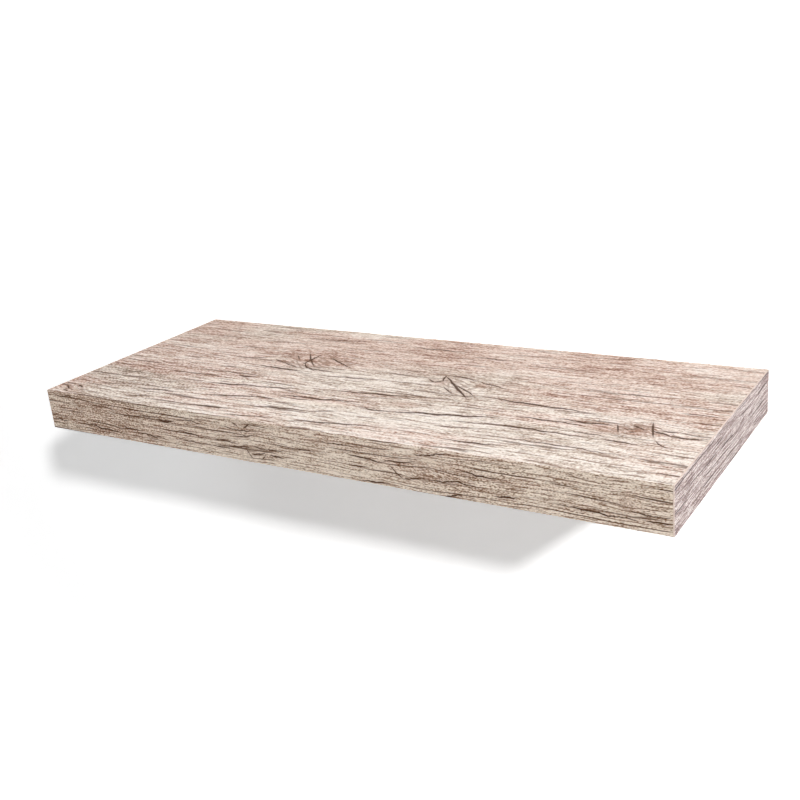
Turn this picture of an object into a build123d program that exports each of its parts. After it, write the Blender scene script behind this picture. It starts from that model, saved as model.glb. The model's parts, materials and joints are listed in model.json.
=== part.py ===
"""Floating wall shelf: a foil-wrapped honeycomb board on a concealed steel bracket.

Millimetres. The origin is the centre of the wall bar's back face, in the plane of the wall.
+X runs along the board, +Y points into the wall and +Z is up, so the front edge lies at -depth.
"""

from build123d import *
import os

# Board, outside
length = 600.0
depth = 240.0
thickness = 38.0

# Decor foil, folded over the top, the front and the underside
foil_thickness = 0.3
fold_radius = 0.8
glue_gap = 0.05

# End bands
band_thickness = 1.0
band_edge_bevel = 0.3

# Skins and the frame between them
skin_thickness = 4.0
front_rail_width = 30.0
back_rail_width = 30.0
stile_width = 30.0
block_width = 40.0

# Paper honeycomb
cell_width = 26.0
cell_side = 15.0
comb_wall = 0.5

# Wall bar
bar_thickness = 4.0
bar_height_gap = 0.7
bar_end_gap = 29.0
bar_front_gap = 1.0
bar_corner_radius = 3.0

# Rods, with their bores in the board
rod_diameter = 12.0
rod_reach = 150.0
rod_nose_chamfer = 1.5
rod_setback = 0.3
rod_place_share = 0.5
rod_hole_gap = 0.02
rod_bore_gap = 0.3
rod_tip_gap = 4.0

# Welds between rods and bar
weld_leg = 2.5
weld_side_gap = 0.5
weld_front_gap = 1.0

# Wall screws
screw_diameter = 5.0
screw_length = 50.0
screw_head_diameter = 10.0
screw_point_length = 5.0
screw_hole_gap = 0.25
screw_head_gap = 0.1
screw_place_shares = (-0.9, -0.32, 0.32, 0.9)
countersink_angle = 90.0

# Wall plugs
plug_diameter = 8.0
plug_length = 40.0
plug_setback = 2.5
plug_bore_gap = 0.05
plug_collar_length = 10.0
plug_slot_width = 1.2

# Lock screws and their threaded inserts
lock_screw_diameter = 5.9
lock_screw_thread_gap = 0.05
lock_screw_recess = 0.8
lock_screw_rod_gap = 0.2
hex_key_size = 3.0
hex_key_depth = 3.5
insert_diameter = 10.0
insert_seat_gap = 0.02
insert_rod_gap = 1.9
foil_hole_gap = 0.3
pilot_gap = 0.3

# One overrun serves every cut that leaves the material
overrun = 1.0

# Places that follow from the sizes
half_length = length / 2
half_thickness = thickness / 2
core_end = half_length - band_thickness
skin_outer = half_thickness - foil_thickness
core_top = skin_outer - skin_thickness
core_height = 2 * core_top
skin_front = foil_thickness - depth
front_rail_back = skin_front + front_rail_width
back_rail_rear = -(bar_thickness + bar_front_gap)
back_rail_front = back_rail_rear - back_rail_width
stile_inner = core_end - stile_width
rod_x = rod_place_share * half_length
block_outer = rod_x + block_width / 2
block_inner = rod_x - block_width / 2
rod_radius = rod_diameter / 2
rod_bore_radius = rod_radius + rod_bore_gap
rod_tip = -(bar_thickness + rod_reach)
rod_bore_end = rod_tip - rod_tip_gap
lock_y = (back_rail_rear + back_rail_front) / 2
lock_radius = lock_screw_diameter / 2
insert_radius = insert_diameter / 2
insert_bore_radius = lock_radius + lock_screw_thread_gap
insert_top = -(rod_bore_radius + insert_rod_gap)
bar_half_length = stile_inner - bar_end_gap
bar_height = core_height - 2 * bar_height_gap
screw_radius = screw_diameter / 2
screw_head_radius = screw_head_diameter / 2
plug_radius = plug_diameter / 2

sides = (("left", -1), ("right", 1))
rod_places = [side * rod_x for _, side in sides]
screw_places = [share * bar_half_length for share in screw_place_shares]

# Planes that look out of the underside, one under each rod
lock_planes = [Plane(origin=(x, lock_y, -half_thickness), z_dir=(0, 0, -1)) for x in rod_places]

os.makedirs("parts", exist_ok=True)


# Decor foil: one sheet that follows the folds, with a hole for each insert
with BuildPart() as decor_wrap:
    with BuildSketch(Plane.YZ):
        with BuildLine():
            FilletPolyline(
                (0, half_thickness),
                (-depth, half_thickness),
                (-depth, -half_thickness),
                (0, -half_thickness),
                radius=fold_radius,
            )
            offset(amount=foil_thickness, side=Side.LEFT)
        make_face()
    extrude(amount=core_end, both=True)
    with Locations(*lock_planes):
        Hole(insert_radius + foil_hole_gap, depth=foil_thickness + overrun)
decor_wrap.part.label = "decor_wrap"
export_step(decor_wrap.part, "parts/decor_wrap.step")


# End bands: the board's whole cross-section, with the bevel that trimming leaves on the outer edges
for side_name, side in sides:
    with BuildPart() as end_band:
        with BuildSketch(Plane.YZ.offset(side * core_end)) as band_outline:
            with Locations((-depth / 2, 0)):
                Rectangle(depth, thickness)
            fillet(band_outline.vertices().group_by(Axis.X)[0], fold_radius)
        extrude(amount=side * band_thickness)
        outer_face = end_band.faces().sort_by(Axis.X)[-1 if side > 0 else 0]
        back_edge = outer_face.edges().sort_by(Axis.Y)[-1]
        chamfer([edge for edge in outer_face.edges() if edge != back_edge], band_edge_bevel)
    end_band.part.label = f"end_band_{side_name}"
    export_step(end_band.part, f"parts/end_band_{side_name}.step")


# Skins: their front edges are rounded so that the foil can turn the corner
for skin_name, up in (("top_skin", 1), ("bottom_skin", -1)):
    with BuildPart() as skin:
        with BuildSketch(Plane.YZ) as skin_section:
            with Locations((skin_front / 2, up * (core_top + skin_thickness / 2))):
                Rectangle(-skin_front, skin_thickness)
            front_corners = skin_section.vertices().group_by(Axis.X)[0].sort_by(Axis.Y)
            fillet(front_corners[-1 if up > 0 else 0], fold_radius - foil_thickness + glue_gap)
        extrude(amount=core_end, both=True)
        if up < 0:
            with Locations(*lock_planes):
                Hole(insert_radius + insert_seat_gap, depth=foil_thickness + skin_thickness + overrun)
    skin.part.label = skin_name
    export_step(skin.part, f"parts/{skin_name}.step")


# Front rail: runs the whole length between the end bands
with BuildPart() as front_rail:
    with BuildSketch(Plane.XY.offset(-core_top)):
        with Locations((0, (skin_front + front_rail_back) / 2)):
            Rectangle(2 * core_end, front_rail_width)
    extrude(amount=core_height)
front_rail.part.label = "front_rail"
export_step(front_rail.part, "parts/front_rail.step")


# End stiles: from the front rail to the wall, so that the ends close the recess
for side_name, side in sides:
    with BuildPart() as end_stile:
        with BuildSketch(Plane.XY.offset(-core_top)):
            with Locations((side * (core_end + stile_inner) / 2, front_rail_back / 2)):
                Rectangle(stile_width, -front_rail_back)
        extrude(amount=core_height)
    end_stile.part.label = f"end_stile_{side_name}"
    export_step(end_stile.part, f"parts/end_stile_{side_name}.step")


# Back rail: bored for the rods, counterbored for the welds and drilled from below for the inserts
with BuildPart() as back_rail:
    with BuildSketch(Plane.XY.offset(-core_top)):
        with Locations((0, lock_y)):
            Rectangle(2 * stile_inner, back_rail_width)
    extrude(amount=core_height)
    with Locations(*[Plane(origin=(x, back_rail_rear, 0), z_dir=(0, 1, 0)) for x in rod_places]):
        CounterBoreHole(
            radius=rod_bore_radius,
            counter_bore_radius=rod_radius + weld_leg + weld_side_gap,
            counter_bore_depth=weld_leg + weld_front_gap - bar_front_gap,
        )
    with Locations(*lock_planes):
        Hole(insert_radius + insert_seat_gap, depth=half_thickness + insert_top)
        Hole(lock_radius + pilot_gap, depth=half_thickness)
back_rail.part.label = "back_rail"
export_step(back_rail.part, "parts/back_rail.step")


# Rod blocks: each has a flat-bottomed blind bore for its rod
for side_name, side in sides:
    with BuildPart() as rod_block:
        with BuildSketch(Plane.XY.offset(-core_top)):
            with Locations((side * rod_x, (back_rail_front + front_rail_back) / 2)):
                Rectangle(block_width, back_rail_front - front_rail_back)
        extrude(amount=core_height)
        with Locations(Plane(origin=(side * rod_x, back_rail_front, 0), z_dir=(0, 1, 0))):
            Hole(rod_bore_radius, depth=back_rail_front - rod_bore_end)
    rod_block.part.label = f"rod_block_{side_name}"
    export_step(rod_block.part, f"parts/rod_block_{side_name}.step")


# Honeycomb: paper strips, glued and pulled open until the comb just fills its bay, so that the cell's
# size follows from the bay and a whole number of cells. The bay's sides cut every second cell in half.
bays = (
    ("left", -stile_inner, -block_outer),
    ("middle", -block_inner, block_inner),
    ("right", block_outer, stile_inner),
)
for bay_name, bay_left, bay_right in bays:
    bay_width = bay_right - bay_left
    bay_depth = back_rail_front - front_rail_back
    columns = max(1, round(bay_width / cell_width))
    rows = max(1, round(bay_depth / (cell_side * 3 / 2)))
    pitch = bay_width / columns
    side_length = bay_depth / rows * 2 / 3
    cell_centres = [
        (bay_left + (column + row % 2 / 2) * pitch, front_rail_back + row * side_length * 3 / 2)
        for row in range(rows + 1)
        for column in range(columns + 1 - row % 2)
    ]
    with BuildSketch() as cell:
        with BuildLine():
            Polyline(
                (0, side_length),
                (pitch / 2, side_length / 2),
                (pitch / 2, -side_length / 2),
                (0, -side_length),
                (-pitch / 2, -side_length / 2),
                (-pitch / 2, side_length / 2),
                close=True,
            )
        make_face()
        offset(amount=-comb_wall / 2, kind=Kind.INTERSECTION, mode=Mode.REPLACE)
    with BuildPart() as honeycomb:
        with BuildSketch(Plane.XY.offset(-core_top)):
            with Locations(((bay_left + bay_right) / 2, (back_rail_front + front_rail_back) / 2)):
                Rectangle(bay_width, bay_depth)
            with Locations(*cell_centres):
                add(cell.sketch, mode=Mode.SUBTRACT)
        extrude(amount=core_height)
    honeycomb.part.label = f"honeycomb_{bay_name}"
    export_step(honeycomb.part, f"parts/honeycomb_{bay_name}.step")


# Threaded inserts: flush with the skin
insert_height = skin_outer + insert_top
with BuildPart() as insert_nuts:
    with Locations(*[(x, lock_y, -skin_outer) for x in rod_places]):
        Cylinder(insert_radius, insert_height, align=(Align.CENTER, Align.CENTER, Align.MIN))
    with Locations(*lock_planes):
        Hole(insert_bore_radius)
insert_nuts.part.label = "insert_nuts"
export_step(insert_nuts.part, "parts/insert_nuts.step")


# Lock screws: grub screws with a hexagon socket, their tips just under the rods
lock_tip = -(rod_radius + lock_screw_rod_gap)
lock_mouth = -(half_thickness - lock_screw_recess)
for side_name, side in sides:
    with BuildPart() as lock_screw:
        with Locations((side * rod_x, lock_y, lock_mouth)):
            Cylinder(lock_radius, lock_tip - lock_mouth, align=(Align.CENTER, Align.CENTER, Align.MIN))
        with BuildSketch(Plane.XY.offset(lock_mouth)):
            with Locations((side * rod_x, lock_y)):
                RegularPolygon(hex_key_size / 2, 6, major_radius=False)
        extrude(amount=hex_key_depth, mode=Mode.SUBTRACT)
    lock_screw.part.label = f"lock_screw_{side_name}"
    export_step(lock_screw.part, f"parts/lock_screw_{side_name}.step")


# Wall bar: flat steel with rounded corners, drilled for the rods and countersunk for the wall screws
with BuildPart() as wall_bar:
    with BuildSketch(Plane.XZ):
        RectangleRounded(2 * bar_half_length, bar_height, bar_corner_radius)
    extrude(amount=bar_thickness)
    with Locations(*[Plane(origin=(x, -bar_thickness, 0), z_dir=(0, -1, 0)) for x in rod_places]):
        Hole(rod_radius + rod_hole_gap)
    with Locations(*[Plane(origin=(x, -bar_thickness, 0), z_dir=(0, -1, 0)) for x in screw_places]):
        CounterSinkHole(
            radius=screw_radius + screw_hole_gap,
            counter_sink_radius=screw_head_radius + screw_head_gap,
            counter_sink_angle=countersink_angle,
        )
wall_bar.part.label = "wall_bar"
export_step(wall_bar.part, "parts/wall_bar.step")


# Rods: set through the bar, with a chamfered nose that finds the bore
for side_name, side in sides:
    with BuildPart() as rod:
        with BuildSketch(Plane.XZ.offset(rod_setback)):
            with Locations((side * rod_x, 0)):
                Circle(rod_radius)
        extrude(amount=-rod_tip - rod_setback)
        chamfer(rod.edges().filter_by(GeomType.CIRCLE).sort_by(Axis.Y)[0], rod_nose_chamfer)
    rod.part.label = f"rod_{side_name}"
    export_step(rod.part, f"parts/rod_{side_name}.step")


# Welds: a fillet in the corner between each rod and the bar
with BuildPart() as weld_bead:
    with BuildSketch():
        bead_inner = rod_radius + rod_hole_gap
        with BuildLine():
            Polyline(
                (bead_inner, -bar_thickness),
                (bead_inner + weld_leg, -bar_thickness),
                (bead_inner, -bar_thickness - weld_leg),
                close=True,
            )
        make_face()
    revolve(axis=Axis.Y)
with BuildPart() as weld_rings:
    with Locations(*[(x, 0, 0) for x in rod_places]):
        add(weld_bead.part)
weld_rings.part.label = "weld_rings"
export_step(weld_rings.part, "parts/weld_rings.step")


# Wall screws: countersunk heads, flush with the bar
screw_end = screw_length - bar_thickness
with BuildPart() as wall_screw:
    with BuildSketch():
        with BuildLine():
            Polyline(
                (0, -bar_thickness),
                (screw_head_radius, -bar_thickness),
                (screw_radius, screw_head_radius - screw_radius - bar_thickness),
                (screw_radius, screw_end - screw_point_length),
                (0, screw_end),
                close=True,
            )
        make_face()
    revolve(axis=Axis.Y)
with BuildPart() as wall_screws:
    with Locations(*[(x, 0, 0) for x in screw_places]):
        add(wall_screw.part)
wall_screws.part.label = "wall_screws"
export_step(wall_screws.part, "parts/wall_screws.step")


# Wall plugs: a round collar, then two tongues with a slot between them
with BuildPart() as wall_plug:
    with BuildSketch(Plane.XZ.offset(-plug_setback)):
        Circle(plug_radius)
        Circle(screw_radius + plug_bore_gap, mode=Mode.SUBTRACT)
    extrude(amount=-plug_length)
    with BuildSketch(Plane.XZ.offset(-plug_setback - plug_collar_length)):
        Rectangle(plug_slot_width, plug_diameter + overrun)
    extrude(amount=-plug_length, mode=Mode.SUBTRACT)
with BuildPart() as wall_plugs:
    with Locations(*[(x, 0, 0) for x in screw_places]):
        add(wall_plug.part)
wall_plugs.part.label = "wall_plugs"
export_step(wall_plugs.part, "parts/wall_plugs.step")
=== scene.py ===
import json
import math

import bmesh
import bpy
from mathutils import Matrix, Vector


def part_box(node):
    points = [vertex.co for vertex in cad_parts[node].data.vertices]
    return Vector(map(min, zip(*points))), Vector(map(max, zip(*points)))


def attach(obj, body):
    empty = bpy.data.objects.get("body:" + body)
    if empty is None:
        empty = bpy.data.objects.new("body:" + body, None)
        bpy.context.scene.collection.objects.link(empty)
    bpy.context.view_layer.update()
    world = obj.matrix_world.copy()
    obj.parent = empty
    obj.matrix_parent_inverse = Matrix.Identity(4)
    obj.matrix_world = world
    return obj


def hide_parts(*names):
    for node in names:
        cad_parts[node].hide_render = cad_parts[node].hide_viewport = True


# A floating wall shelf: a board in old-pine decor foil on a hidden steel bracket.
# The frame is in metres: +X along the board, +Y into the wall, +Z up, and the wall's face is y = 0.
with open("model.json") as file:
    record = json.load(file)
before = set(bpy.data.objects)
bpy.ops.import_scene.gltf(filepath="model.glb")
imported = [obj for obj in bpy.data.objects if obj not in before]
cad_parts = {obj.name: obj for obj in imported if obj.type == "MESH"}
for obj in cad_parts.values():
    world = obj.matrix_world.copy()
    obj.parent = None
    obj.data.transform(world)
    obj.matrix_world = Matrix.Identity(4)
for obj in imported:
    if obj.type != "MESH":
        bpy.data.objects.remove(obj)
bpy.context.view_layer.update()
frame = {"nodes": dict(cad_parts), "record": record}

# One millimetre: places on the print and sizes of the small parts are written in millimetres
MM = 0.001

board_low, board_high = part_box("decor_wrap")
band_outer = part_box("end_band_right")[1].x
board_depth = -board_low.y / MM
half_thickness = board_high.z / MM
board_length = 2 * band_outer / MM


# Node helpers


class Wire:
    """What a node's socket gives. Arithmetic on wires adds math nodes to their tree."""

    def __init__(self, socket):
        self.socket = socket
        self.tree = socket.id_data

    def __add__(self, other):
        return arithmetic("ADD", self, other)

    __radd__ = __add__

    def __sub__(self, other):
        return arithmetic("SUBTRACT", self, other)

    def __rsub__(self, other):
        return arithmetic("SUBTRACT", other, self)

    def __mul__(self, other):
        return arithmetic("MULTIPLY", self, other)

    __rmul__ = __mul__

    def __truediv__(self, other):
        return arithmetic("DIVIDE", self, other)

    def __abs__(self):
        return arithmetic("ABSOLUTE", self)


def feed(socket, value):
    """Links a wire to a socket, or sets the socket to a plain value."""
    if isinstance(value, Wire):
        value.tree.links.new(value.socket, socket)
    else:
        socket.default_value = value


def tree_of(*values):
    return next(value.tree for value in values if isinstance(value, Wire))


def arithmetic(operation, *values, clamp=False):
    node = tree_of(*values).nodes.new("ShaderNodeMath")
    node.operation = operation
    node.use_clamp = clamp
    for socket, value in zip(node.inputs, values):
        feed(socket, value)
    return Wire(node.outputs[0])


def clipped(value):
    return arithmetic("ADD", value, 0.0, clamp=True)


def larger(first, second):
    return arithmetic("MAXIMUM", first, second)


def smaller(first, second):
    return arithmetic("MINIMUM", first, second)


def smooth_step(value, low, high):
    """0 below low, 1 above high, and a smooth rise between them."""
    node = value.tree.nodes.new("ShaderNodeMapRange")
    node.interpolation_type = "SMOOTHSTEP"
    for name, setting in (("Value", value), ("From Min", low), ("From Max", high)):
        feed(node.inputs[name], setting)
    return Wire(node.outputs["Result"])


def point(u, v, w=0.0):
    node = tree_of(u, v).nodes.new("ShaderNodeCombineXYZ")
    for socket, value in zip(node.inputs, (u, v, w)):
        feed(socket, value)
    return Wire(node.outputs[0])


def noise(u, v, length, width, seed, detail=2.0):
    """Noise about 0, with spots about length by width in the units of u and v."""
    place = point(u / length + seed, v / width + seed * 2)
    node = place.tree.nodes.new("ShaderNodeTexNoise")
    node.noise_dimensions = "2D"
    node.inputs["Scale"].default_value = 1.0
    node.inputs["Detail"].default_value = detail
    feed(node.inputs["Vector"], place)
    return Wire(node.outputs["Fac"]) - 0.5


def projected(place, axis):
    """How far a place lies along an axis."""
    node = tree_of(place, axis).nodes.new("ShaderNodeVectorMath")
    node.operation = "DOT_PRODUCT"
    for socket, value in zip(node.inputs, (place, axis)):
        feed(socket, value)
    return Wire(node.outputs["Value"])


def node_group(name, inputs, build):
    """A group with inputs given as name: kind, whose outputs are what build makes of them."""
    tree = bpy.data.node_groups.new(name, "ShaderNodeTree")
    for label, kind in inputs.items():
        tree.interface.new_socket(label, in_out="INPUT", socket_type=f"NodeSocket{kind}")
    source = tree.nodes.new("NodeGroupInput")
    results = build(*[Wire(source.outputs[label]) for label in inputs])
    for label in results:
        tree.interface.new_socket(label, in_out="OUTPUT", socket_type="NodeSocketFloat")
    sink = tree.nodes.new("NodeGroupOutput")
    for label, wire in results.items():
        feed(sink.inputs[label], wire)
    return tree


def grouped(group, tree, *values):
    """The group's outputs, by name, with these values on its inputs."""
    node = tree.nodes.new("ShaderNodeGroup")
    node.node_tree = group
    for socket, value in zip(node.inputs, values):
        feed(socket, value)
    return {output.name: Wire(output) for output in node.outputs}


def srgb(red, green, blue):
    """A colour written in 0 to 255, as the linear RGBA that shaders take."""

    def linear(level):
        share = level / 255
        return share / 12.92 if share <= 0.04045 else ((share + 0.055) / 1.055) ** 2.4

    return (linear(red), linear(green), linear(blue), 1.0)


def mixed(amount, base, top, mode="MIX"):
    """The base colour with that much of the top colour over it."""
    node = tree_of(amount, base, top).nodes.new("ShaderNodeMix")
    node.data_type = "RGBA"
    node.blend_type = mode
    # The node's sockets for colours are inputs 6 and 7 and output 2
    for index, value in ((0, amount), (6, base), (7, top)):
        feed(node.inputs[index], value)
    return Wire(node.outputs[2])


def colour_ramp(value, *stops):
    """A colour from a row of (place, colour) stops."""
    node = value.tree.nodes.new("ShaderNodeValToRGB")
    elements = node.color_ramp.elements
    while len(elements) < len(stops):
        elements.new(0.5)
    for element, (place, colour) in zip(elements, stops):
        element.position = place
        element.color = colour
    feed(node.inputs["Fac"], value)
    return Wire(node.outputs["Color"])


def new_material(name, roughness, metallic=0.0, specular=0.5):
    """A material with one shader, and its tree."""
    material = bpy.data.materials.new(name)
    material.use_nodes = True
    tree = material.node_tree
    tree.nodes.clear()
    shader = tree.nodes.new("ShaderNodeBsdfPrincipled")
    shader.inputs["Roughness"].default_value = roughness
    shader.inputs["Metallic"].default_value = metallic
    shader.inputs["Specular IOR Level"].default_value = specular
    output = tree.nodes.new("ShaderNodeOutputMaterial")
    tree.links.new(shader.outputs["BSDF"], output.inputs["Surface"])
    return material, tree, shader


def on_object(tree, kind):
    """One kind of coordinate on the object, as three wires."""
    place = tree.nodes.new("ShaderNodeTexCoord")
    parts = tree.nodes.new("ShaderNodeSeparateXYZ")
    tree.links.new(place.outputs[kind], parts.inputs[0])
    return [Wire(output) for output in parts.outputs]


def place_in_mm(tree):
    """The place on the object, as three wires in millimetres."""
    return [wire * (1 / MM) for wire in on_object(tree, "Object")]


def facing(tree):
    """The surface's direction on the object, as three wires."""
    return on_object(tree, "Normal")


def add_relief(shader, height, depth, strength):
    """Bump from a height wire that runs about from 0 to 1 over that depth in metres."""
    bump = height.tree.nodes.new("ShaderNodeBump")
    bump.inputs["Strength"].default_value = strength
    bump.inputs["Distance"].default_value = depth
    feed(bump.inputs["Height"], height)
    feed(shader.inputs["Normal"], Wire(bump.outputs["Normal"]))


# Old-pine print


def crack_group():
    """One crack: how far inside a thin line with tapered ends on a parabola, in millimetres."""

    def build(place, ragged, along_axis, across_axis, bend, taper, width):
        along = projected(place, along_axis)
        square = along * along
        across = abs(projected(place, across_axis) - bend * square)
        return {"inside": width - taper * square - across - ragged}

    inputs = {"place": "Vector", "ragged": "Float", "along": "Vector", "across": "Vector"}
    inputs.update({"bend": "Float", "taper": "Float", "width": "Float"})
    return node_group("crack", inputs, build)


def crack(group, place, ragged, start, end, width, sag):
    """How far inside a crack from start to end, that wide in all, whose middle sags by sag."""
    middle = ((start[0] + end[0]) / 2, (start[1] + end[1]) / 2)
    half = math.hypot(end[0] - start[0], end[1] - start[1]) / 2
    cosine = (end[0] - start[0]) / 2 / half
    sine = (end[1] - start[1]) / 2 / half
    along = (cosine, sine, -(middle[0] * cosine + middle[1] * sine))
    across = (-sine, cosine, middle[0] * sine - middle[1] * cosine - sag)
    shape = (-sag / half**2, width / 2 / half**2, width / 2)
    return grouped(group, place.tree, place, ragged, along, across, *shape)["inside"]


def cracks_group(name, cracks):
    """All the cracks of a print: how far inside the nearest one, in millimetres."""
    single = crack_group()
    far_outside = -10.0

    def build(u, v):
        swayed = v + 5 * noise(u, v, 16, 40, seed=8.1)
        place = point(u, swayed, 1.0)
        ragged = abs(noise(u, v, 5, 1.6, seed=5.3)) * 2.0 - 0.3
        inside = far_outside
        for start, end, width, sag in cracks:
            inside = larger(inside, crack(single, place, ragged, start, end, width, sag))
        return {"inside": inside}

    return node_group(name, {"u": "Float", "v": "Float"}, build)


def lines_of(field, pitch, half_width, softness=0.5):
    """Thin lines, one a pitch across the field, that run out where their half width falls to 0."""
    across = abs(arithmetic("FRACT", field / pitch) - 0.5) * pitch
    return clipped((half_width - across) / softness)


def spread(u, v, middle_u, middle_v, half_u, half_v):
    """A soft round spot: 1 in its middle. Also the square of the distance from there, in halves."""
    across_u = (u - middle_u) / half_u
    across_v = (v - middle_v) / half_v
    square = across_u * across_u + across_v * across_v
    return arithmetic("EXPONENT", square * -1.0), square


def knot_group(seed):
    """One knot: the v of the grain it moves aside, how near it is, and its rings and lashes."""

    def build(u, v, knot_u, knot_v, half_u, half_v):
        near, square = spread(u, v, knot_u, knot_v, half_u, half_v)
        wander = noise(u, v, half_u * 0.5, half_v * 0.5, seed)
        softness = half_v * 0.04
        radius = (arithmetic("SQRT", square) + 0.8 * wander) * half_v
        ring_width = half_v * (0.07 * near + 0.16 * wander)
        rings = lines_of(radius, half_v * 0.3, ring_width, softness)
        # The lashes run at 30 degrees to the grain
        slope = 0.5 * (u - knot_u) - 0.87 * (v - knot_v) + 9 * wander
        lash_width = half_v * (0.08 * near + 0.16 * wander - 0.01)
        lashes = lines_of(slope, half_v * 0.26, lash_width, softness)
        moved_v = v - (v - knot_v) * near * 0.65
        return {"v": moved_v, "near": near, "rings": rings, "lashes": lashes}

    names = ("u", "v", "knot_u", "knot_v", "half_u", "half_v")
    return node_group("knot", {name: "Float" for name in names}, build)


def knots_group(knots, seed):
    """All the knots of a print, as (u, v, half length, half width)."""
    single = knot_group(seed)

    def build(u, v):
        found = {"near": 0.0, "rings": 0.0, "lashes": 0.0}
        for knot in knots:
            here = grouped(single, u.tree, u, v, *knot)
            v = here["v"]
            found = {name: larger(value, here[name]) for name, value in found.items()}
        return {"v": v, **found}

    return node_group("knots", {"u": "Float", "v": "Float"}, build)


def grain_group(seed):
    """Grain of weathered pine, whose fibres run along u, and whose grit keeps to the straight v.

    A dense stretch has more lines, and where thinness is less than 1 they are thinner.
    """

    def build(u, v, straight, dense, thinness):
        v = v + 5 * noise(u, v, 170, 45, seed, 1.0) + 1.6 * noise(u, v, 46, 11, seed + 3, 1.0)
        waves = v + 5 * noise(u, v, 130, 12, seed + 51, 1.0)
        waves = waves + 1.2 * noise(u, v, 26, 5, seed + 53, 1.0)
        ripples = v + 3 * noise(u, v, 64, 8, seed + 57, 1.0)
        ripples = ripples + 0.9 * noise(u, v, 14, 3, seed + 59, 1.0)
        wave_width = smaller(5 * noise(u, v, 62, 4.0, seed + 37) + 0.25 * dense + 0.1, 0.85)
        ripple_width = smaller(3 * noise(u, v, 26, 2.6, seed + 43) + 0.15 * dense + 0.15, 0.6)
        return {
            "broad": noise(u, v, 150, 18, seed + 11),
            "streak": noise(u, v, 70, 3.0, seed + 17, 3.0),
            "fibre": noise(u, v, 22, 0.9, seed + 23, 2.0),
            "grit": noise(u, straight, 4.0, 0.7, seed + 29, 1.0),
            "specks": noise(u + 1.3 * straight, straight - 0.35 * u, 2.0, 1.3, seed + 67, 0.0),
            "pores": smooth_step(noise(u, straight, 9, 0.75, seed + 61, 1.0), 0.08, 0.17),
            "lines": lines_of(waves, 6.5, wave_width * thinness),
            "hairlines": lines_of(ripples, 2.7, ripple_width * thinness, 0.4),
        }

    names = ("u", "v", "straight", "dense", "thinness")
    return node_group("grain", {name: "Float" for name in names}, build)


# A place on the print is (u, v): u from the board's left end, and v from the wall over the top,
# down the front and back along the underside

# How much wider the grain's lines are on the top and the underside than on the front
coarse_top = 2.1

# Knots: their middle, half length and half width
top_knots = (
    (204, 96, 44, 20),
    (373, 113, 30, 20),
    (546, 158, 34, 15),
    (18, 226, 12, 8),
)
front_knots = (
    (242, 266, 14, 6),
    (236, 246, 12, 4),
    (412, 262, 20, 9),
    (92, 264, 9, 6),
    (568, 259, 10, 6),
)

# Soft spots: how much darker they are, or lighter below 0, then their middle and half widths
shaded_spots = (
    (0.25, 60, 190, 120, 66),
    (0.04, 300, 50, 90, 40),
    (0.02, 540, 80, 120, 90),
    (0.07, 570, 215, 120, 40),
    (0.1, 550, 165, 34, 18),
    (0.24, 70, 262, 70, 25),
    (-0.08, 212, 262, 40, 25),
    (0.16, 450, 262, 40, 25),
    (0.06, 560, 262, 60, 25),
)

# Soft red-brown spots: their middle and half widths
stained_spots = (
    (221, 96, 9, 7),
    (172, 102, 8, 4),
    (353, 112, 10, 8),
    (389, 108, 10, 8),
    (350, 167, 18, 8),
    (522, 166, 18, 12),
    (545, 162, 7, 9),
    (18, 211, 7, 3),
    (21, 228, 5, 4),
    (31, 232, 7, 3),
    (568, 258, 10, 8),
)

# Pale streaks: start, end, width in all and how far the middle sags
pale_streaks = (
    ((362, 93), (398, 127), 7.5, -1.0),
    ((353, 118), (370, 132), 6.0, 0.5),
    ((185, 97), (200, 108), 4.0, 0.5),
    ((228, 112), (300, 114), 6.0, 1.0),
    ((136, 100), (182, 94), 7.0, 0.0),
    ((234, 192), (302, 184), 9.0, 0.0),
    ((188, 197), (220, 193), 6.0, 0.0),
    ((556, 148), (580, 152), 5.0, 0.0),
    ((13, 221), (31, 226), 3.8, 0.0),
    ((237, 266), (259, 266), 7.0, 0.0),
    ((406, 250), (422, 252), 5.0, 0.0),
)

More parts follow.
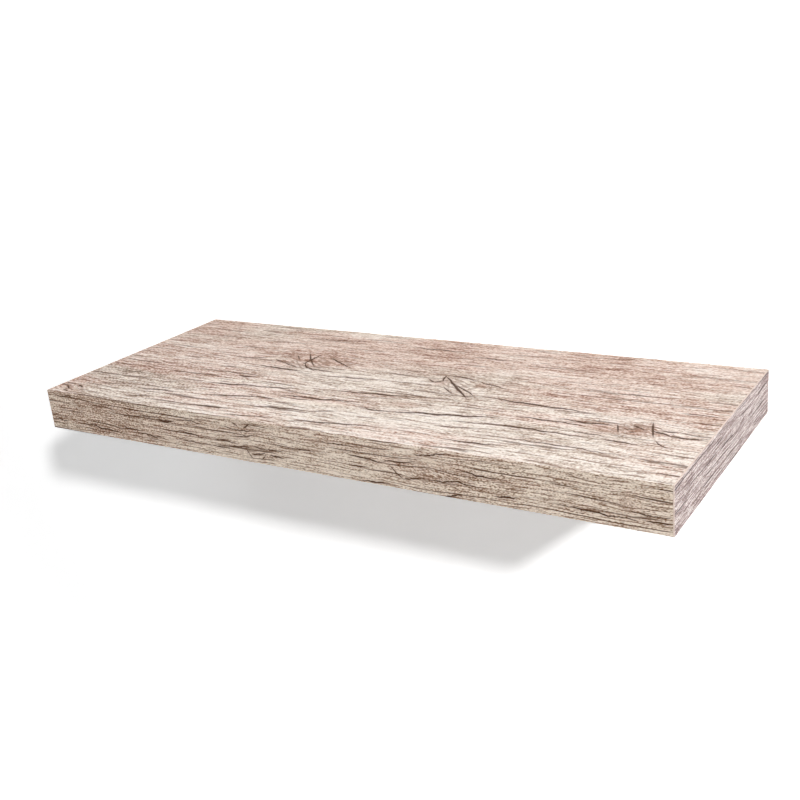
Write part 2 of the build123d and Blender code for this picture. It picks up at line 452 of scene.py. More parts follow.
# Cracks, given as the streaks are
top_cracks = (
    # The X, the tail and the lashes of the first knot
    ((183, 71), (214, 108), 1.8, 0.0),
    ((200, 73), (199, 106), 2.7, 0.6),
    ((198, 98), (224, 117), 2.2, 4.0),
    ((204, 111), (244, 114), 2.4, 1.4),
    ((210, 77), (255, 101), 1.9, 0.6),
    ((175, 103), (206, 114), 1.6, 1.5),
    ((161, 97), (182, 107), 1.7, 0.5),
    ((177, 82), (187, 93), 1.4, 0.0),
    ((122, 108), (158, 92), 1.7, 0.0),
    # The double slash, the lid and the hook of the second
    ((345, 90), (396, 143), 2.7, 0.0),
    ((364, 110), (397, 133), 1.8, -0.8),
    ((345, 91), (381, 98), 2.3, -1.5),
    ((376, 95), (418, 109), 1.6, 1.0),
    ((337, 105), (348, 111), 2.0, 0.5),
    ((343, 111), (356, 103), 2.1, 0.5),
    ((348, 92), (352, 107), 1.9, 0.5),
    ((357, 116), (378, 133), 1.5, 0.5),
    # The third, near the front right
    ((551, 141), (561, 168), 1.9, 0.3),
    ((538, 149), (552, 158), 1.8, 0.5),
    ((555, 156), (572, 162), 2.4, 0.0),
    ((566, 162), (600, 159), 2.6, 1.8),
    ((528, 153), (534, 167), 1.8, 0.0),
    ((480, 156), (530, 155), 2.6, 0.5),
    ((480, 163), (508, 162), 1.8, 0.3),
    ((496, 174), (532, 179), 1.6, 0.3),
    ((533, 160), (546, 156), 1.6, 0.0),
    ((526, 183), (558, 185), 2.2, 0.0),
    ((562, 156), (575, 154), 2.4, 0.0),
    ((540, 164), (546, 163), 2.2, 0.3),
    ((564, 173), (576, 184), 1.4, 0.5),
    # The fourth, at the front left corner
    ((10, 223), (21, 231), 2.1, 0.4),
    ((2, 225), (11, 223), 1.5, -0.3),
    ((19, 218), (31, 224), 2.4, -0.5),
    ((0, 218), (20, 219), 1.8, -0.4),
    ((28, 228), (39, 226), 1.6, 0.3),
    ((15, 233), (24, 235), 1.9, 0.4),
    # Long ones
    ((153, 119), (213, 122), 2.9, -0.5),
    ((230, 126), (304, 119), 2.0, 1.0),
    ((118, 130), (144, 131), 1.9, 0.2),
    ((314, 184), (352, 184), 2.2, 2.0),
    ((342, 186), (442, 169), 3.5, -1.0),
    ((140, 176), (196, 167), 2.8, -0.5),
    ((182, 170), (238, 162), 2.4, 1.0),
    ((156, 149), (179, 148), 3.0, 0.0),
    ((158, 201), (216, 190), 2.8, 1.5),
    ((204, 191), (236, 190), 2.4, 0.3),
    ((262, 157), (358, 148), 2.7, 0.6),
    ((226, 181), (316, 174), 2.9, 0.6),
    ((398, 129), (510, 137), 2.8, 1.2),
    ((444, 162), (500, 163), 2.2, -0.6),
    ((216, 211), (282, 205), 2.4, 0.8),
    ((276, 206), (306, 197), 1.8, 0.8),
    ((162, 226), (214, 222), 2.5, 0.4),
    ((210, 235), (262, 228), 1.8, 0.0),
    ((270, 231), (358, 217), 2.4, -2.0),
    ((416, 222), (468, 218), 2.4, 0.0),
    ((82, 206), (134, 203), 2.6, 0.5),
    ((90, 225), (118, 220), 2.0, 0.5),
    ((36, 206), (60, 203), 2.0, 0.8),
    ((272, 29), (336, 29), 2.2, 0.5),
    ((158, 32), (228, 25), 1.8, 0.0),
    ((344, 39), (388, 39), 2.0, 0.4),
    ((424, 182), (520, 184), 2.2, -0.6),
    ((440, 204), (560, 206), 1.6, -0.5),
    ((476, 92), (544, 88), 1.6, 0.4),
)
front_cracks = (
    ((28, 267), (102, 272), 1.6, 0.3),
    ((88, 264), (122, 266), 1.3, 0.3),
    ((104, 268), (150, 270), 1.6, 0.0),
    ((112, 251), (146, 252), 1.2, -0.4),
    ((136, 253), (160, 251), 2.0, 0.4),
    ((157, 250), (200, 250), 1.0, -0.6),
    ((158, 260), (202, 262), 1.2, 0.3),
    ((150, 268), (204, 268), 1.1, 0.3),
    ((0, 243), (48, 244), 1.1, 0.3),
    ((52, 248), (92, 251), 1.1, -0.4),
    ((0, 269), (24, 268), 1.4, 0.0),
    ((216, 267), (246, 262), 1.3, 0.6),
    ((243, 262), (260, 265), 1.3, -0.3),
    ((256, 265), (279, 263), 1.4, 0.0),
    ((241, 269), (259, 267), 1.6, 0.8),
    ((237, 265), (244, 274), 1.1, 0.3),
    ((252, 274), (258, 269), 1.1, 0.3),
    ((261, 269), (277, 269), 1.6, 0.0),
    ((198, 262), (230, 263), 1.4, 0.3),
    ((198, 268), (226, 269), 1.3, 0.3),
    ((212, 249), (252, 248), 1.3, 1.0),
    ((219, 257), (254, 251), 1.2, 0.4),
    ((225, 243), (232, 247), 1.2, 0.0),
    ((236, 248), (245, 242), 1.3, 0.3),
    ((278, 260), (312, 259), 1.1, -0.3),
    ((310, 250), (350, 249), 1.2, -0.6),
    ((336, 255), (376, 257), 1.7, 1.0),
    ((370, 257), (404, 254), 1.3, -0.8),
    ((379, 259), (392, 269), 1.3, 0.6),
    ((388, 268), (412, 266), 1.4, 0.6),
    ((350, 277), (380, 275), 1.6, 0.0),
    ((340, 264), (360, 265), 1.1, 0.0),
    ((398, 248), (436, 242), 1.5, 0.8),
    ((433, 254), (478, 256), 1.5, 0.5),
    ((406, 267), (462, 266), 1.4, -2.0),
    ((421, 278), (442, 275), 1.8, 0.4),
    ((467, 270), (487, 269), 1.6, 0.3),
    ((512, 268), (580, 271), 1.6, -0.3),
    ((580, 269), (600, 269), 1.5, 0.0),
    ((564, 264), (600, 265), 1.2, 0.3),
)


def print_place(x, y, z, below):
    """The place (u, v) on the foil, and how much of it is front. Below is 1 on the underside."""
    u = x + board_length / 2
    v_over_front = half_thickness - y - z
    v_underneath = 2 * half_thickness + 2 * board_depth + y
    v = v_over_front + (v_underneath - v_over_front) * below
    front = smooth_step(v, board_depth - 0.3, board_depth + 0.5) * (1 - below)
    return u, v, front


def foil_grain(tree, u, v, front, knots):
    """The grain of the foil's print, and how much darker its soft spots make it."""
    front_height = 2 * half_thickness
    coarser = 1 - 1 / coarse_top
    on_front = clipped((v - board_depth) / front_height)
    straight = v / coarse_top + on_front * (front_height * coarser)
    moved = straight + (knots["v"] - v) * (1 / coarse_top + front * coarser)
    shades = 0.0
    for share, *spot in shaded_spots:
        shades = shades + share * spread(u, v, *spot)[0]
    dense = 0.3 + 0.9 * front + (1.1 - 0.8 * front) * knots["near"] + 3 * shades
    thinness = 1 - 0.6 * knots["near"] - (0.08 - 0.2 * knots["near"]) * front
    grain = grouped(grain_group(seed=40.7), tree, u, moved, straight, dense, thinness)
    return grain, shades


def foil_base(u, v, front, grain, shades):
    """The colour of the foil's fibres, pink or grey, with painted shade and light, and how near to
    the wall they are.
    """
    # Near the wall: the top is painted darker here as painted shade, and its grain is fainter
    back = 1 - smooth_step(v, 30, 150)
    # Painted light: the top is painted paler towards its front edge, away from the wall
    painted_front_light_field = v + 90 * noise(u, v, 260, 90, seed=61.3, detail=1.0)
    painted_front_light = smooth_step(painted_front_light_field, 90, 200) * (1 - front)
    warmth = noise(u, v, 210, 70, seed=71.9, detail=1.0) + 0.22 * back - 0.07 - 0.8 * grain["broad"]
    warmth = smooth_step(warmth, -0.16, 0.08)
    tone = (
        0.66
        + (0.8 - 0.4 * front) * grain["broad"]
        + (0.8 - 0.4 * front - 0.3 * back) * grain["streak"]
        + (1.5 + 0.5 * front - 0.3 * back) * grain["fibre"]
        + (0.9 + 0.6 * front) * grain["grit"]
        + (0.6 + 0.5 * front - 0.2 * back + 2 * shades) * grain["specks"]
        - (0.12 + 0.1 * front) * grain["pores"]
        + 0.09 * painted_front_light
        # Painted light on a strip along the top's front edge, and painted shade on the front face
        + 0.07 * (smooth_step(v, 180, 225) - front)
        # Painted shade near the wall
        - 0.09 * back
        + 0.18 * front
        - shades
    )
    pink = colour_ramp(
        tone,
        (0.10, srgb(136, 100, 84)),
        (0.34, srgb(186, 156, 142)),
        (0.52, srgb(211, 188, 174)),
        (0.70, srgb(225, 207, 197)),
        (0.95, srgb(238, 228, 220)),
    )
    grey = colour_ramp(
        tone,
        (0.10, srgb(122, 103, 88)),
        (0.34, srgb(176, 157, 143)),
        (0.52, srgb(204, 187, 174)),
        (0.70, srgb(221, 208, 196)),
        (0.95, srgb(237, 229, 221)),
    )
    return mixed(warmth * (1 - front * 0.5), grey, pink), back


def decor_foil():
    """Printed foil: one sheet that is folded over the top, the front and the underside."""
    material, tree, shader = new_material("decor_foil_print", 0.66, specular=0.1)
    below = arithmetic("LESS_THAN", facing(tree)[2], -0.7)
    u, v, front = print_place(*place_in_mm(tree), below)
    inside = grouped(cracks_group("cracks", top_cracks + front_cracks), tree, u, v)["inside"]
    in_streak = grouped(cracks_group("streaks", pale_streaks), tree, u, v)["inside"]
    knots = grouped(knots_group(top_knots + front_knots, seed=49.7), tree, u, v)
    grain, shades = foil_grain(tree, u, v, front, knots)
    colour, back = foil_base(u, v, front, grain, shades)

    stain = 0.0
    for spot in stained_spots:
        stain = larger(stain, spread(u, v, *spot)[0])
    stain = smooth_step(stain + 1.2 * grain["fibre"] + 0.8 * grain["grit"], 0.25, 1.1)
    streak = smooth_step(in_streak, -1.2, 1.8)
    crack_shade = smooth_step(inside, -2.6, 0.6)
    crack_depth = clipped(inside / 0.45)
    line_strength = 0.72 + 0.2 * front - 0.2 * back
    colour = mixed(stain * (0.38 - 0.2 * front), colour, srgb(180, 136, 116))
    colour = mixed(streak * (0.55 + 0.25 * front), colour, srgb(239, 229, 218))
    colour = mixed(crack_shade * 0.25, colour, srgb(148, 112, 90))
    colour = mixed(larger(knots["rings"], knots["lashes"]) * 0.6, colour, srgb(118, 86, 66))
    colour = mixed(clipped(grain["hairlines"] * line_strength), colour, srgb(120, 90, 70))
    colour = mixed(clipped(grain["lines"] * line_strength), colour, srgb(88, 62, 46))
    colour = mixed(clipped(crack_depth * 0.95), colour, srgb(72, 48, 34))
    front_tint = (1.0, 0.945, 0.875, 1.0)
    colour = mixed(front, colour, front_tint, "MULTIPLY")
    feed(shader.inputs["Base Color"], colour)
    add_relief(shader, 0.7 + grain["grit"] - 0.6 * grain["pores"], depth=0.1 * MM, strength=0.8)
    return material


def edge_band():
    """Printed band: the grain runs along the depth, and the cut edges are plain."""
    material, tree, shader = new_material("edge_band_print", 0.62, specular=0.2)
    x, y, z = place_in_mm(tree)
    outward = abs(facing(tree)[0])
    # The right end shows another stretch of the print than the left end
    stretch = arithmetic("GREATER_THAN", x, 0.0) * 500
    knot = (-96, 7, 16, 8)
    knots = grouped(knots_group((knot,), seed=29.3), tree, y, z)
    dense = 1.3 + knots["near"]
    thinness = 1 - 0.6 * knots["near"]
    grain = grouped(grain_group(seed=23.4), tree, y + stretch, knots["v"], z, dense, thinness)
    tone = (
        0.51
        + 0.4 * grain["broad"]
        + 0.8 * grain["streak"]
        + 2.6 * grain["fibre"]
        + 1.1 * grain["grit"]
        + 1.0 * grain["specks"]
        - 0.2 * grain["pores"]
    )
    colour = colour_ramp(
        tone,
        (0.12, srgb(132, 111, 108)),
        (0.36, srgb(178, 158, 154)),
        (0.54, srgb(199, 181, 177)),
        (0.72, srgb(212, 199, 195)),
        (0.92, srgb(230, 221, 218)),
    )
    colour = mixed(larger(knots["rings"], knots["lashes"]) * 0.5, colour, srgb(128, 104, 100))
    colour = mixed(clipped(grain["hairlines"] * 0.85), colour, srgb(118, 96, 92))
    colour = mixed(clipped(grain["lines"] * 0.95), colour, srgb(86, 68, 66))
    cut_edge = mixed(clipped(0.5 + 2 * grain["grit"]), srgb(206, 186, 174), srgb(218, 201, 190))
    colour = mixed(smooth_step(outward, 0.8, 0.95), cut_edge, colour)
    feed(shader.inputs["Base Color"], colour)
    add_relief(shader, 0.7 + grain["grit"] - 0.6 * grain["pores"], depth=0.08 * MM, strength=0.7)
    return material


# Materials of the inside


def fibreboard():
    """Raw brown fibreboard: fine felted fibres, with layers on the cut edges."""
    material, tree, shader = new_material("raw_fibreboard", 0.85, specular=0.2)
    x, y, z = place_in_mm(tree)
    fibres = noise(x + y * 0.3, z * 3 + y, 2.2, 0.8, seed=3.1, detail=4.0)
    clouds = noise(x, y + z, 30, 22, seed=9.7, detail=3.0)
    colour = colour_ramp(
        0.5 + 1.6 * fibres + 0.7 * clouds,
        (0.15, srgb(112, 82, 54)),
        (0.5, srgb(150, 115, 78)),
        (0.85, srgb(186, 150, 108)),
    )
    feed(shader.inputs["Base Color"], colour)
    add_relief(shader, fibres, depth=0.3 * MM, strength=0.7)
    return material


def particleboard():
    """Raw chipboard: pressed chips of several browns, with dark gaps between them."""
    material, tree, shader = new_material("raw_particleboard", 0.85, specular=0.2)
    x, y, z = place_in_mm(tree)
    chips = tree.nodes.new("ShaderNodeTexVoronoi")
    chips.feature = "F1"
    chips.inputs["Scale"].default_value = 1.0
    chips.inputs["Randomness"].default_value = 1.0
    wander = noise(x + z, y, 5, 3, seed=1.7)
    feed(chips.inputs["Vector"], point(x / 3.4 + wander, y / 2.2 + wander * 2, z / 1.1))
    tint = tree.nodes.new("ShaderNodeSeparateColor")
    tree.links.new(chips.outputs["Color"], tint.inputs[0])
    gaps = smooth_step(Wire(chips.outputs["Distance"]), 0.45, 0.8)
    splinters = noise(x + y, z + y * 0.5, 6, 0.7, seed=7.9, detail=3.0)
    colour = colour_ramp(
        Wire(tint.outputs[0]) * 0.6 + 0.2 + splinters * 1.2,
        (0.1, srgb(146, 112, 74)),
        (0.45, srgb(188, 154, 110)),
        (0.7, srgb(208, 178, 136)),
        (0.95, srgb(228, 206, 170)),
    )
    colour = mixed(gaps * 0.6, colour, srgb(104, 76, 48))
    feed(shader.inputs["Base Color"], colour)
    add_relief(shader, splinters - 0.5 * gaps, depth=0.35 * MM, strength=0.8)
    return material


def comb_paper():
    """Kraft paper: brown, with fine fibres and faint ribs from the mill."""
    material, tree, shader = new_material("kraft_paper", 0.8, specular=0.25)
    x, y, z = place_in_mm(tree)
    fibres = noise(x + y, z, 4, 1.6, seed=2.9, detail=4.0)
    ribs = arithmetic("SINE", z * 4.2)
    colour = colour_ramp(
        0.5 + 1.5 * fibres + 0.05 * ribs,
        (0.2, srgb(150, 116, 78)),
        (0.5, srgb(178, 143, 100)),
        (0.8, srgb(202, 170, 126)),
    )
    feed(shader.inputs["Base Color"], colour)
    add_relief(shader, fibres + 0.2 * ribs, depth=0.12 * MM, strength=0.6)
    return material


def metal(name, dark, light, roughness, length, width, seed, metallic=1.0):
    """Metal with streaks of that length and width. Its roughness follows its streaks and stains."""
    material, tree, shader = new_material(name, roughness, metallic)
    x, y, z = place_in_mm(tree)
    streaks = noise(x + y * 0.7, z + y * 0.4, length, width, seed, detail=3.0)
    stains = noise(x, y + z, 6, 4, seed + 5, detail=4.0)
    clouds = noise(x, y + z, 45, 30, seed + 9, detail=2.0)
    tone = 0.5 + 0.7 * stains + 1.1 * streaks + 0.5 * clouds
    feed(shader.inputs["Base Color"], mixed(clipped(tone), dark, light))
    feed(shader.inputs["Roughness"], roughness + 0.2 * stains + 0.16 * streaks + 0.1 * clouds)
    add_relief(shader, streaks + 0.5 * stains, depth=0.03 * MM, strength=0.5)
    return material


def nylon():
    """Grey nylon, faintly cloudy, with a fine moulded grain."""
    material, tree, shader = new_material("grey_nylon", 0.42)
    x, y, z = place_in_mm(tree)
    clouds = noise(x + z, y, 12, 9, seed=4.1, detail=3.0)
    pores = noise(x + z, y + z, 0.5, 0.5, seed=8.3)
    colour = mixed(clipped(0.5 + 1.5 * clouds), srgb(150, 153, 156), srgb(178, 180, 182))
    feed(shader.inputs["Base Color"], colour)
    add_relief(shader, pores, depth=0.04 * MM, strength=0.6)
    return material


finishes = {
    "decor_foil": decor_foil(),
    "edge_band": edge_band(),
    "fibreboard": fibreboard(),
    "particleboard": particleboard(),
    "comb_paper": comb_paper(),
    "insert_brass": metal(
        "turned_brass", srgb(176, 138, 74), srgb(214, 178, 108),
        roughness=0.34, length=1.2, width=0.3, seed=1.3,
    ),
    "black_steel": metal(
        "black_oxide_steel", srgb(28, 28, 30), srgb(52, 52, 55),
        roughness=0.42, length=0.9, width=0.3, seed=2.3, metallic=0.7,
    ),
    "zinc_steel": metal(
        "zinc_plated_steel", srgb(158, 161, 166), srgb(202, 204, 206),
        roughness=0.38, length=14, width=0.5, seed=3.3,
    ),
    "weld_steel": metal(
        "plated_weld", srgb(122, 123, 126), srgb(168, 169, 170),
        roughness=0.46, length=1.4, width=0.7, seed=4.3,
    ),
    "zinc_screw": metal(
        "bright_zinc_screw", srgb(176, 172, 160), srgb(214, 211, 202),
        roughness=0.3, length=0.8, width=0.3, seed=5.3,
    ),
    "nylon": nylon(),
}

for node in frame["nodes"].values():
    for slot in node.material_slots:
        slot.material = finishes[slot.material.name]


# Small parts, modelled with the threads, recesses and ribs that their plain solids leave out


def finished_mesh(name, shape):
    """The bmesh as a mesh whose faces all look outward."""
    bmesh.ops.recalc_face_normals(shape, faces=shape.faces)
    mesh = bpy.data.meshes.new(name)
    shape.to_mesh(mesh)
    shape.free()
    return mesh


def turned_mesh(name, rows, segments, closed=False):
    """Turns rows round Z into a mesh.

    A row is (radius, height), or a function of the angle that gives both.
    """
    shape = bmesh.new()
    rings = []
    for row in rows:
        ring = []
        for step in range(segments):
            angle = step / segments * 2 * math.pi
            radius, height = row(angle) if callable(row) else row
            corner = (radius * math.cos(angle), radius * math.sin(angle), height)
            ring.append(shape.verts.new(corner))
        rings.append(ring)
    pairs = list(zip(rings, rings[1:])) + ([(rings[-1], rings[0])] if closed else [])
    for lower, upper in pairs:
        for step in range(segments):
            after = (step + 1) % segments
            shape.faces.new((lower[step], lower[after], upper[after], upper[step]))
    bmesh.ops.remove_doubles(shape, verts=shape.verts, dist=0.001 * MM)
    return finished_mesh(name, shape)


def thread_rows(start, end, pitch, core, crest, sharpness, runout=0.0):
    """Rows of a helical thread, which tapers to a point over the runout before its end."""
    rows_a_turn = 10
    count = max(2, round((end - start) / pitch * rows_a_turn))
    rows = []
    for step in range(count + 1):
        height = start + (end - start) * step / count
        fade_in = (height - start) / pitch
        fade_out = (end - height) / pitch + (1.0 if runout else 0.0)
        fade = min(1.0, fade_in, fade_out)
        taper = min(1.0, (end - height) / runout) if runout else 1.0

        def row(angle, height=height, fade=fade, taper=taper):
            phase = (height / pitch - angle / (2 * math.pi)) % 1.0
            ridge = max(0.0, 1 - abs(phase - 0.5) * 2 * sharpness)
            return (core + (crest - core) * ridge * fade) * taper, height

        rows.append(row)
    return rows


def prism_mesh(name, outline, bottom, top, top_share=1.0):
    """A prism over an outline, which can taper to a share of its width at the top."""
    shape = bmesh.new()
    lower = [shape.verts.new((x, y, bottom)) for x, y in outline]
    upper = [shape.verts.new((x * top_share, y * top_share, top)) for x, y in outline]
    shape.faces.new(lower)
    shape.faces.new(upper)
    for index in range(len(outline)):
        after = (index + 1) % len(outline)
        shape.faces.new((lower[index], lower[after], upper[after], upper[index]))
    return finished_mesh(name, shape)


def rectangle(width, height):
    corners = ((-1, -1), (1, -1), (1, 1), (-1, 1))
    return [(x * width / 2, y * height / 2) for x, y in corners]


def hollowed(mesh, *cutters):
    """The mesh with each cutter's volume taken out of it."""
    for cutter in cutters:
        body = bpy.data.objects.new("body", mesh)
        tool = bpy.data.objects.new("tool", cutter)
        for helper in (body, tool):
            bpy.context.scene.collection.objects.link(helper)
        cut = body.modifiers.new("cut", "BOOLEAN")
        cut.operation = "DIFFERENCE"
        cut.solver = "EXACT"
        cut.object = tool
        view = bpy.context.evaluated_depsgraph_get()
        mesh = bpy.data.meshes.new_from_object(body.evaluated_get(view))
        for helper in (body, tool):
            bpy.data.objects.remove(helper)
    return mesh


def add_small_part(name, mesh, turn, places, node, body, finish, smooth_angle=35):
    """One piece that stands for a CAD node: a copy of the mesh at each place, all turned alike."""
    shape = bmesh.new()
    for place in places:
        copy = mesh.copy()
        copy.transform(Matrix.Translation(place) @ turn)
        shape.from_mesh(copy)
        bpy.data.meshes.remove(copy)
    whole = bpy.data.meshes.new(name)
    shape.to_mesh(whole)
    shape.free()
    whole.shade_smooth()
    whole.set_sharp_from_angle(angle=math.radians(smooth_angle))
    whole.materials.clear()
    whole.materials.append(finishes[finish])
    piece = bpy.data.objects.new(name, whole)
    bpy.context.scene.collection.objects.link(piece)
    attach(piece, body)
    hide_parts(node)


def middle_of(node):
    low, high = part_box(node)
    return (low + high) / 2


into_wall = Matrix.Rotation(-math.pi / 2, 4, "X")
out_of_wall = Matrix.Rotation(math.pi / 2, 4, "X")
upright = Matrix.Identity(4)

rod_names = ("rod_left", "rod_right")
screw_low, screw_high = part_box("wall_screws")
plug_low, plug_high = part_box("wall_plugs")
fixing_xs = [
    mount["pos_m"][0]
    for mount in frame["record"]["mounts"]
    if mount["name"].startswith("wall_plug")
]


def wall_screws():
    """Countersunk screws with a cross recess and a coarse thread."""
    head_radius = screw_high.z
    length = screw_high.y - screw_low.y
    crest = 2.5 * MM
    core = 1.55 * MM
    neck = 1.85 * MM
    pitch = 2.4 * MM
    thread_start = 9 * MM
    point_length = 6 * MM
    rim = 0.15 * MM
    recess_depth = 2.6 * MM
    recess_taper = 0.42
    arm_width = 1.15 * MM
    arm_length = 5.2 * MM
    lift = 0.2 * MM
    cone_end = head_radius - neck
    rows = [(0.0, 0.0), (head_radius - 2 * rim, 0.0), (head_radius - rim, rim)]
    rows += [(neck, cone_end), (neck, thread_start - 1 * MM), (core, thread_start)]
    rows += thread_rows(
        thread_start, length, pitch, core, crest, sharpness=1.9, runout=point_length
    )
    screw = turned_mesh("wall_screw", rows, segments=32)
    for width, height in ((arm_length, arm_width), (arm_width, arm_length)):
        arm = prism_mesh("arm", rectangle(width, height), -lift, recess_depth, recess_taper)
        screw = hollowed(screw, arm)
    places = [(x, screw_low.y, 0.0) for x in fixing_xs]
    add_small_part(
        "wall_screws_threaded", screw, into_wall, places, "wall_screws", "bracket", "zinc_screw"
    )


def wall_plugs():
    """Nylon plugs: a smooth collar, then saw-tooth ribs on two tongues, and a tapered nose."""
    outer = plug_high.z
    length = plug_high.y - plug_low.y
    bore = 2.55 * MM
    collar = 9 * MM
    rib_pitch = 3.1 * MM
    rib_depth = 0.55 * MM
    groove_start, groove_end, rib_top = 0.12 * rib_pitch, 0.3 * rib_pitch, 0.92 * rib_pitch
    nose = 4.5 * MM
    nose_radius = 2.95 * MM
    edge = 0.3 * MM
    slot_width = 1.2 * MM
    slot_start = 10 * MM
    rows = [(bore, 0.0), (outer - edge, 0.0), (outer, edge), (outer, collar)]
    ribs = int((length - collar - nose) / rib_pitch)
    for rib in range(ribs):
        start = collar + rib * rib_pitch
        rows += [(outer - rib_depth, start + groove_start), (outer - rib_depth, start + groove_end)]
        rows += [(outer, start + rib_top), (outer, start + rib_pitch)]
    nose_start = collar + ribs * rib_pitch
    rows += [(outer - rib_depth, nose_start + edge), (nose_radius, length), (bore, length)]
    plug = turned_mesh("wall_plug", rows, segments=48, closed=True)
    slot = prism_mesh("slot", rectangle(slot_width, 3 * outer), slot_start, length + edge)
    plug = hollowed(plug, slot)
    places = [(x, plug_low.y, 0.0) for x in fixing_xs]
    add_small_part("wall_plugs_ribbed", plug, into_wall, places, "wall_plugs", "bracket", "nylon")


def insert_nuts():
    """Brass inserts: a coarse outer thread, a fine inner one and a slot for the driver."""
    low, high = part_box("insert_nuts")
    outer = (high.y - low.y) / 2
    height = high.z - low.z
    bore = 3.0 * MM
    edge = 0.35 * MM
    slot_width = 1.3 * MM
    slot_depth = 1.8 * MM
    outer_pitch = 2.2 * MM
    outer_core = outer - 0.75 * MM
    inner_pitch = 1.0 * MM
    inner_root = bore + 0.3 * MM
    outside = thread_rows(2 * edge, height - edge, outer_pitch, outer_core, outer, sharpness=1.5)
    inside = thread_rows(edge, height - edge, inner_pitch, inner_root, bore, sharpness=1.2)
    rows = [(bore + edge, 0.0), (outer - edge, 0.0), (outer, edge)] + outside
    rows += [(outer - 2 * edge, height), (bore + edge, height)] + inside[::-1]
    nut = turned_mesh("insert_nut", rows, segments=48, closed=True)
    nut = hollowed(nut, prism_mesh("slot", rectangle(3 * outer, slot_width), -edge, slot_depth))
    places = [(middle_of(rod).x, (low.y + high.y) / 2, low.z) for rod in rod_names]
    add_small_part(
        "insert_nuts_slotted", nut, upright, places, "insert_nuts", "board", "insert_brass"
    )


def lock_screws():
    """Grub screws: a fine thread, a hexagon socket below and a cup point under the rod."""
    for side in ("left", "right"):
        node = f"lock_screw_{side}"
        low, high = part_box(node)
        crest = (high.y - low.y) / 2
        height = high.z - low.z
        core = crest - 0.5 * MM
        pitch = 1.0 * MM
        edge = 0.5 * MM
        cup = 1.5 * MM
        key_size = 3.0 * MM
        key_depth = 3.5 * MM
        corner = key_size / math.sqrt(3)
        thread = thread_rows(edge, height - 1.6 * edge, pitch, core, crest, sharpness=1.2)
        rows = [(0.0, 0.0), (core - 0.1 * MM, 0.0), (core, edge)] + thread
        rows += [(core, height - 1.5 * edge), (cup + edge, height), (cup, height - 0.2 * MM)]
        rows += [(0.0, height - cup / 2)]
        turns = [math.pi / 3 * number for number in range(6)]
        hexagon = [(corner * math.cos(turn), corner * math.sin(turn)) for turn in turns]
        socket = prism_mesh("key", hexagon, -edge, key_depth)
        screw = hollowed(turned_mesh(node, rows, segments=40), socket)
        place = (middle_of(node).x, middle_of(node).y, low.z)
        add_small_part(f"{node}_threaded", screw, upright, [place], node, node, "black_steel")


def weld_rings():
    """Fillet welds with the overlapping ripples of a bead."""
    low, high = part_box("weld_rings")
    leg = high.y - low.y
    inner = high.z - leg
    bead_steps = 9
    hollowness = 1.55
    ripples = 34
    ripple_depth = 0.045
    ripple_lag = 2.4
    rows = [(inner, 0.0), (inner + leg * 0.5, 0.0)]
    for step in range(bead_steps + 1):
        turn = step / bead_steps * math.pi / 2

        def row(angle, turn=turn):
            swell = math.sin(2 * turn)
            wave = math.sin(ripples * angle + ripple_lag * swell + 0.7 * math.sin(5 * angle))
            reach = leg * (1 - ripple_depth + ripple_depth * wave * swell)
            radius = inner + reach * math.cos(turn) ** hollowness
            return radius, reach * math.sin(turn) ** hollowness

        rows.append(row)
    bead = turned_mesh("weld_ring", rows, segments=240, closed=True)
    places = [(middle_of(rod).x, high.y, 0.0) for rod in rod_names]
    add_small_part(
        "weld_beads", bead, out_of_wall, places, "weld_rings", "bracket", "weld_steel",
        smooth_angle=60,
    )


wall_screws()
wall_plugs()
insert_nuts()
lock_screws()
weld_rings()


# Stage: a white wall behind the shelf and a pale floor far below

wall_half_width = 4.0
wall_top = 2.6
wall_setback = 0.2 * MM
floor_height = -1.25
floor_reach = 30.0

# How far from the board's middle the wall's far glow starts, and is full, in millimetres
glow_start, glow_full = 680.0, 1500.0


def seen_rays(tree):
    """1 on the rays of the camera, mirrors and glass, which should meet a white background."""
    path = tree.nodes.new("ShaderNodeLightPath")
    mirrored = Wire(path.outputs["Is Glossy Ray"])
    through_glass = Wire(path.outputs["Is Transmission Ray"])
    return larger(Wire(path.outputs["Is Camera Ray"]), larger(mirrored, through_glass))


def stage_material(name, grey, seen_grey, glow, far_glow=0.0):
    """A matt stage, which the camera and mirrors see brighter than it lights the shelf."""
    material = bpy.data.materials.new(name)
    material.use_nodes = True
    tree = material.node_tree
    tree.nodes.clear()
    seen = seen_rays(tree)
    matt = tree.nodes.new("ShaderNodeBsdfDiffuse")
    level = grey + (seen_grey - grey) * seen
    feed(matt.inputs["Color"], point(level, level, level))
    x, _, z = place_in_mm(tree)
    far = smooth_step(x * x + z * z, glow_start**2, glow_full**2)
    shine = tree.nodes.new("ShaderNodeEmission")
    feed(shine.inputs["Strength"], seen * (glow + far_glow * far))
    both = tree.nodes.new("ShaderNodeAddShader")
    tree.links.new(matt.outputs[0], both.inputs[0])
    tree.links.new(shine.outputs[0], both.inputs[1])
    output = tree.nodes.new("ShaderNodeOutputMaterial")
    tree.links.new(both.outputs[0], output.inputs["Surface"])
    return material


def open_from_behind(material):
    """Lets the wall show only from its front, and lets light through where the board covers it."""
    tree = material.node_tree
    x, _, z = place_in_mm(tree)
    overlap = 1.0
    inside_x = arithmetic("LESS_THAN", abs(x), board_length / 2 - overlap)
    inside_z = arithmetic("LESS_THAN", abs(z), half_thickness - overlap)
    behind = tree.nodes.new("ShaderNodeNewGeometry")
    window = inside_x * inside_z * (1 - seen_rays(tree))
    clear = tree.nodes.new("ShaderNodeBsdfTransparent")
    choice = tree.nodes.new("ShaderNodeMixShader")
    feed(choice.inputs[0], larger(window, Wire(behind.outputs["Backfacing"])))
    output = next(node for node in tree.nodes if node.type == "OUTPUT_MATERIAL")
    surface = output.inputs["Surface"].links[0].from_socket
    tree.links.new(surface, choice.inputs[1])
    tree.links.new(clear.outputs["BSDF"], choice.inputs[2])
    tree.links.new(choice.outputs[0], output.inputs["Surface"])


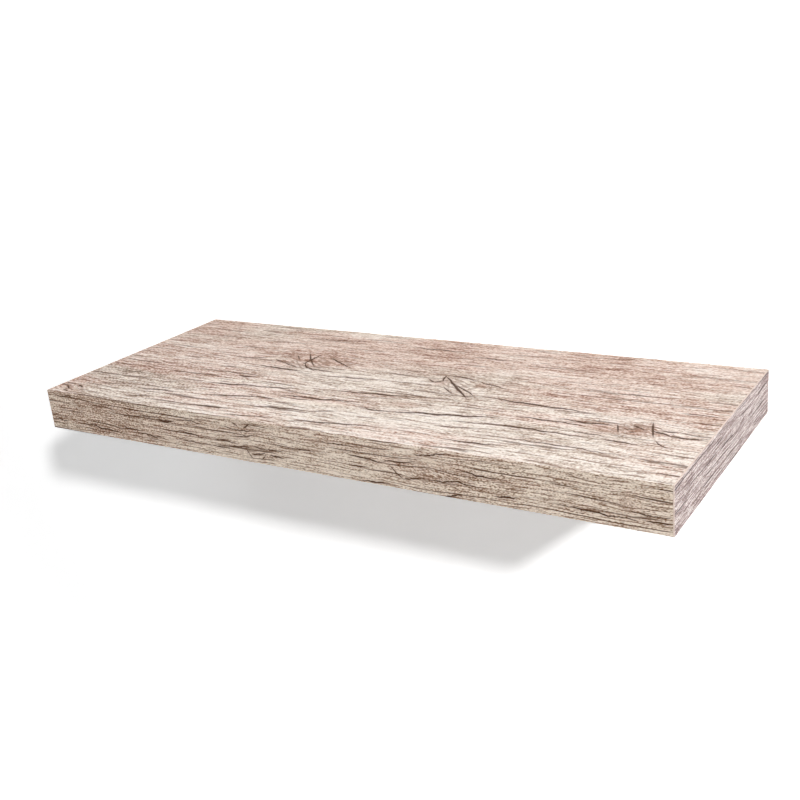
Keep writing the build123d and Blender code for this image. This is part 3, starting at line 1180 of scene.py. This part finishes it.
def stage_sheet(name, corners, material):
    mesh = bpy.data.meshes.new(name)
    mesh.from_pydata(corners, [], [(0, 1, 2, 3)])
    mesh.materials.append(material)
    sheet = bpy.data.objects.new(name, mesh)
    bpy.context.scene.collection.objects.link(sheet)


wall_paint = stage_material("white_wall", grey=0.85, seen_grey=1.5, glow=0.02, far_glow=1.0)
open_from_behind(wall_paint)
stage_sheet(
    "wall",
    (
        (-wall_half_width, wall_setback, floor_height),
        (wall_half_width, wall_setback, floor_height),
        (wall_half_width, wall_setback, wall_top),
        (-wall_half_width, wall_setback, wall_top),
    ),
    wall_paint,
)
floor_paint = stage_material("pale_floor", grey=0.8, seen_grey=0.8, glow=0.95)
stage_sheet(
    "floor",
    (
        (-floor_reach, -floor_reach, floor_height),
        (floor_reach, -floor_reach, floor_height),
        (floor_reach, floor_reach, floor_height),
        (-floor_reach, floor_reach, floor_height),
    ),
    floor_paint,
)


# World and lamps


def set_world(level):
    """A soft grey room that looks white to the camera and in reflections."""
    world = bpy.data.worlds.new("studio")
    world.use_nodes = True
    bpy.context.scene.world = world
    tree = world.node_tree
    tree.nodes.clear()
    background = tree.nodes.new("ShaderNodeBackground")
    background.inputs["Color"].default_value = (1.0, 1.0, 1.0, 1.0)
    feed(background.inputs["Strength"], seen_rays(tree) * (1 - level) + level)
    output = tree.nodes.new("ShaderNodeOutputWorld")
    tree.links.new(background.outputs[0], output.inputs["Surface"])


def add_lamp(name, place, size, level, shape="SQUARE"):
    """A lamp that lights a white card at the board's middle, square to the beam, to that level."""
    light = bpy.data.lights.new(name, "AREA")
    light.shape = shape
    light.size = size
    beam = Vector(board_middle) - Vector(place)
    light.energy = level * (math.pi * beam.length) ** 2
    lamp = bpy.data.objects.new(name, light)
    lamp.location = place
    lamp.rotation_euler = beam.to_track_quat("-Z", "Y").to_euler()
    bpy.context.scene.collection.objects.link(lamp)


board_middle = (0.0, board_low.y / 2, 0.0)
set_world(level=0.26)
add_lamp("key", (1.98, -1.87, 1.38), size=0.18, level=0.7, shape="DISK")
add_lamp("overhead", (-0.1, -0.5, 1.9), size=1.3, level=0.36)
add_lamp("side", (1.9, -0.35, 0.25), size=1.0, level=0.05)
add_lamp("behind", (0.9, 1.7, 0.9), size=1.2, level=0.42)


# Camera: the photograph's view, 800 pixels square

picture_width = 800
focal_pixels = 1073.5
camera_place = (0.50445, -0.85819, 0.32192)
camera_azimuth = math.radians(33.558)
camera_elevation = math.radians(19.845)
camera_roll = math.radians(-5.426)

lens = bpy.data.cameras.new("camera")
lens.sensor_width = 36.0
lens.lens = focal_pixels / picture_width * lens.sensor_width
lens.clip_start = 0.01
lens.clip_end = 50.0
camera = bpy.data.objects.new("camera", lens)
camera.matrix_world = (
    Matrix.Translation(camera_place)
    @ Matrix.Rotation(camera_azimuth, 4, "Z")
    @ Matrix.Rotation(math.pi / 2 - camera_elevation, 4, "X")
    @ Matrix.Rotation(camera_roll, 4, "Z")
)
bpy.context.scene.collection.objects.link(camera)
bpy.context.scene.camera = camera
bpy.context.scene.view_settings.view_transform = "Standard"
